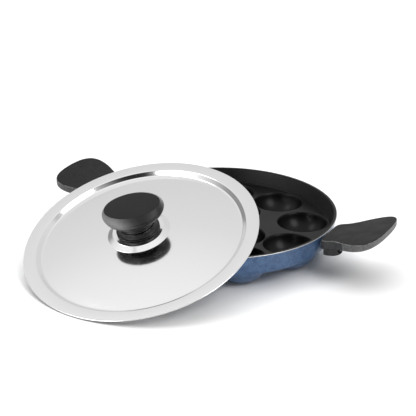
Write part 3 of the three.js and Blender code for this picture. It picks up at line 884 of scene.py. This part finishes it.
def makeKnobBandHighlight():
    # slanting edge of the cap with a painted highlight, painted lighter towards two sides along a turned axis
    # and broken up by grain
    finish, tree, shader = newFinish("knobBandPaintedHighlight")
    turn = math.radians(knobBandHighlight["turn"])
    along = lidPlace.to_3x3() @ Vector((math.cos(turn), math.sin(turn), 0))
    values = {"Location": lidPlace.translation, "Scale": [knob["capHalfLength"] * mm] * 3}
    place = objectPlace(tree)
    own = addNode(tree, "ShaderNodeMapping", values, {"Vector": place}, vector_type="TEXTURE")
    reach = addNode(tree, "ShaderNodeVectorMath", {1: along}, {0: own.outputs[0]}, operation="DOT_PRODUCT")
    reach = addNode(tree, "ShaderNodeMath", None, {0: reach.outputs["Value"]}, operation="ABSOLUTE")
    grain = noise(tree, place, knobBandHighlight["grainScale"], roughness=0.6)
    paintedHighlight = addNode(tree, "ShaderNodeMath", {1: knobBandHighlight["patchy"]}, {0: grain, 2: reach.outputs[0]},
                   operation="MULTIPLY_ADD").outputs[0]
    span = [stop + knobBandHighlight["patchy"] / 2 for stop in knobBandHighlight["span"]]
    paint(tree, shader, greyRamp(tree, paintedHighlight, knobBandHighlight["tone"], span))
    setSockets(shader, {"Roughness": knobBandHighlight["roughness"], "Specular IOR Level": knobBandHighlight["specular"]})
    bump(tree, shader, grain, knobBandHighlight["grain"])
    return finish


def makeKnob():
    low, neck, cap = knob["neckBottom"], knob["neckRadius"], knob["capHalfLength"]
    neckTop = low + knob["neckHeight"]
    widest = neckTop + knob["capRise"]
    top = widest + knob["bevelHeight"]
    topHalf = cap - knob["bevelWidth"]
    hole, holeTop = knob["insertHole"], knob["insertHoleTop"]
    under = quarterArc(neck, widest, cap - neck, neckTop - widest, knob["underSteps"])
    over = roundedLine([
        (neck, neckTop, 0), (cap, widest, knob["capRound"]), (topHalf, top, knob["topRound"]),
        (0, top, 0)], knob["roundSteps"])[1:-1]
    line = [(0, holeTop), (hole, holeTop), (hole, low), (neck - knob["neckEdge"], low)]
    line += [(neck, low + knob["neckEdge"])] + under[:0:-1] + over
    for share in np.linspace(1, 0, knob["crownSteps"])[1:]:
        line.append((over[-1][0] * share, top + knob["crown"] * (1 - share ** 2)))
    points, faces = turned(line, knob["segments"])

    def coatOf(face):
        level = min(points[i][2] for i in face)
        reach = min(math.hypot(*points[i][:2]) for i in face)
        if level > top - knob["topEdge"]:
            return "knob"
        onBand = level > widest - knob["bandDrop"] and topHalf - knob["bandEdge"] < reach < cap
        return "band" if onBand else "gloss"

    # band: the cap's slanting edge, with a painted highlight
    coats = {"knob": finishes["knob"], "gloss": finishes["gloss"], "band": makeKnobBandHighlight()}
    picks = [list(coats).index(coatOf(face)) for face in faces]
    levels = [(low, 1), (neckTop, 1), (widest, knob["capHalfWidth"] / cap),
              (top, knob["capTopHalfWidth"] / topHalf)]
    return newPiece("lidKnob", squeezed(points, levels), faces, list(coats.values()), "lid",
                    ["lid_knob"], lidPlace, picks, knob["crease"])


for made in (makeCollar(), makeKnob()):
    print(made.name, len(made.data.polygons), "faces")


# fixings keep their CAD shapes and get plated finishes, by the ends of their names

fixings = {
    "stud": "stud", "insert": "brass", "grip_screw": "blackened", "grip_washer": "blackened",
    "grip_spring_washer": "blackened", "knob_screw": "zinc", "knob_washer": "zinc",
    "knob_spring_washer": "zinc"}
for nodeName, node in nodes.items():
    for ending, finishName in fixings.items():
        if nodeName.endswith(ending):
            node.data.materials.clear()
            node.data.materials.append(finishes[finishName])
print("fixings finished")


# studio; turns go round from the front to the right, rises up from the floor, both in degrees

studio = {
    "floorHalf": 4, "floorDrop": 0.0003, "floorTone": (0.895, 0.9), "floorScale": 3, "floorRoughness": 0.9,
    "floorGlow": 0.02, "skyLight": 0.31, "skyWhite": 1.0, "brightTurn": -10, "brightRise": 55,
    "brightTone": (0.745, 0.81, 0.93, 1.0), "brightSpan": (0.1, 0.44, 0.68, 0.86),
    "flags": {
        "rightFlag": {"turn": 50, "rise": 38, "level": 0.02, "width": (0.60, 0.80), "height": (0.69, 0.82)},
        "leftFlag": {"turn": -95, "rise": 0, "level": 0.40, "width": (0.35, 0.70), "height": (0.28, 0.42)}},
    "lamps": {
        "keyLamp": {"turn": -70, "rise": 24, "light": 0.12, "spread": 48, "gloss": False},
        "frontLamp": {"turn": -20, "rise": 20, "light": 0.33, "spread": 38, "matt": False},
        "leftLamp": {"turn": -64, "rise": 52, "light": 0.12, "spread": 22},
        "rightLamp": {"turn": 82, "rise": 47, "light": 0.36, "spread": 30},
        "backLamp": {"turn": 200, "rise": 68, "light": 0.78, "spread": 76, "gloss": False}}}


def towards(turn, rise):
    turn, rise = math.radians(turn), math.radians(rise)
    return Vector((math.sin(turn) * math.cos(rise), -math.cos(turn) * math.cos(rise), math.sin(rise)))


def seenBy(tree, *rays):
    path = addNode(tree, "ShaderNodeLightPath")
    seen = path.outputs[rays[0]]
    for ray in rays[1:]:
        links = {0: seen, 1: path.outputs[ray]}
        seen = addNode(tree, "ShaderNodeMath", None, links, operation="MAXIMUM").outputs[0]
    return seen


def facing(tree, place, turn, rise):
    # 1 towards the given side of the studio, 0 square to it
    values = {1: towards(turn, rise)}
    return addNode(tree, "ShaderNodeVectorMath", values, {0: place}, operation="DOT_PRODUCT").outputs["Value"]


def makeFloor():
    half = studio["floorHalf"]
    corners = [(-half, -half, 0), (half, -half, 0), (half, half, 0), (-half, half, 0)]
    mesh = bpy.data.meshes.new("studioFloor")
    mesh.from_pydata(corners, [], [(0, 1, 2, 3)])
    floor = bpy.data.objects.new("studioFloor", mesh)
    floor.location.z = -studio["floorDrop"]
    scene.collection.objects.link(floor)
    finish, tree, shader = newFinish("paleFloor")
    cloud = noise(tree, objectPlace(tree), studio["floorScale"], detail=2)
    paint(tree, shader, greyRamp(tree, cloud, studio["floorTone"], (0, 1)))
    setSockets(shader, {
        "Roughness": studio["floorRoughness"], "Specular IOR Level": 0, "Emission Color": white})
    seen = seenBy(tree, "Is Camera Ray", "Is Glossy Ray", "Is Transmission Ray")
    glow = addNode(tree, "ShaderNodeMath", {1: studio["floorGlow"]}, {0: seen}, operation="MULTIPLY")
    tree.links.new(glow.outputs[0], shader.inputs["Emission Strength"])
    mesh.materials.append(finish)


def mirroredSky(tree):
    # pale room that polished pieces show: brighter above, darkened by the flags
    place = addNode(tree, "ShaderNodeTexCoord").outputs["Generated"]
    height = addNode(tree, "ShaderNodeSeparateXYZ", None, {0: place}).outputs["Z"]
    bright = facing(tree, place, studio["brightTurn"], studio["brightRise"])
    shade = greyRamp(tree, bright, studio["brightTone"], studio["brightSpan"])
    for flag in studio["flags"].values():
        side = facing(tree, place, flag["turn"], flag["rise"])
        besides = greyRamp(tree, side, (1, flag["level"]), flag["width"])
        higher = greyRamp(tree, height, (flag["level"], 1), flag["height"])
        links = {0: besides, 1: higher}
        mask = addNode(tree, "ShaderNodeVectorMath", None, links, operation="MAXIMUM").outputs[0]
        links = {0: shade, 1: mask}
        shade = addNode(tree, "ShaderNodeVectorMath", None, links, operation="MULTIPLY").outputs[0]
    return shade


def makeWorld():
    world = bpy.data.worlds.new("paleStudio")
    world.use_nodes = True
    scene.world = world
    tree = world.node_tree
    tree.nodes.clear()
    light = addNode(tree, "ShaderNodeBackground", {"Color": white, "Strength": studio["skyLight"]})
    mirror = addNode(tree, "ShaderNodeBackground", {"Strength": 1}, {"Color": mirroredSky(tree)})
    pale = addNode(tree, "ShaderNodeBackground", {"Color": white, "Strength": studio["skyWhite"]})
    mirrored = seenBy(tree, "Is Glossy Ray")
    links = {0: mirrored, 1: light.outputs[0], 2: mirror.outputs[0]}
    around = addNode(tree, "ShaderNodeMixShader", None, links)
    seen = seenBy(tree, "Is Camera Ray", "Is Transmission Ray")
    sky = addNode(tree, "ShaderNodeMixShader", None, {0: seen, 1: around.outputs[0], 2: pale.outputs[0]})
    addNode(tree, "ShaderNodeOutputWorld", None, {"Surface": sky.outputs[0]})


def makeLamp(name, turn, rise, light, spread, matt=True, gloss=True):
    lamp = bpy.data.lights.new(name, "SUN")
    lamp.energy = light * math.pi
    lamp.angle = math.radians(spread)
    obj = bpy.data.objects.new(name, lamp)
    obj.location = towards(turn, rise)
    obj.rotation_euler = towards(turn, rise).to_track_quat("Z", "Y").to_euler()
    obj.visible_diffuse = matt
    obj.visible_glossy = gloss
    scene.collection.objects.link(obj)


makeFloor()
makeWorld()
for lampName, lampValues in studio["lamps"].items():
    makeLamp(lampName, **lampValues)
scene.view_settings.view_transform = "Standard"
print("studio set")


# camera as the photograph was taken; focal length and frame in pixels, places in millimetres

shot = {
    "turn": 27.297, "rise": 22.913, "roll": 0.207, "distance": 1277.5, "right": -11.825, "up": 1.061,
    "focal": 1350, "frame": 416, "sensor": 36, "clipStart": 0.05}


def makeCamera():
    camera = bpy.data.cameras.new("photoCamera")
    camera.sensor_width = shot["sensor"]
    camera.sensor_fit = "HORIZONTAL"
    camera.lens = shot["focal"] / shot["frame"] * shot["sensor"]
    camera.clip_start = shot["clipStart"]
    turn, roll = math.radians(shot["turn"]), math.radians(shot["roll"])
    back = towards(shot["turn"], shot["rise"])
    flat = Vector((math.cos(turn), math.sin(turn), 0))
    upright = back.cross(flat)
    right = flat * math.cos(roll) + upright * math.sin(roll)
    up = upright * math.cos(roll) - flat * math.sin(roll)
    aim = Vector((panAxis.x, panAxis.y, panHigh.z))
    eye = aim + (back * shot["distance"] + right * shot["right"] + up * shot["up"]) * mm
    obj = bpy.data.objects.new("photoCamera", camera)
    obj.matrix_world = columnFrame(right, up, back, eye)
    scene.collection.objects.link(obj)
    scene.camera = obj


makeCamera()
print("camera set")
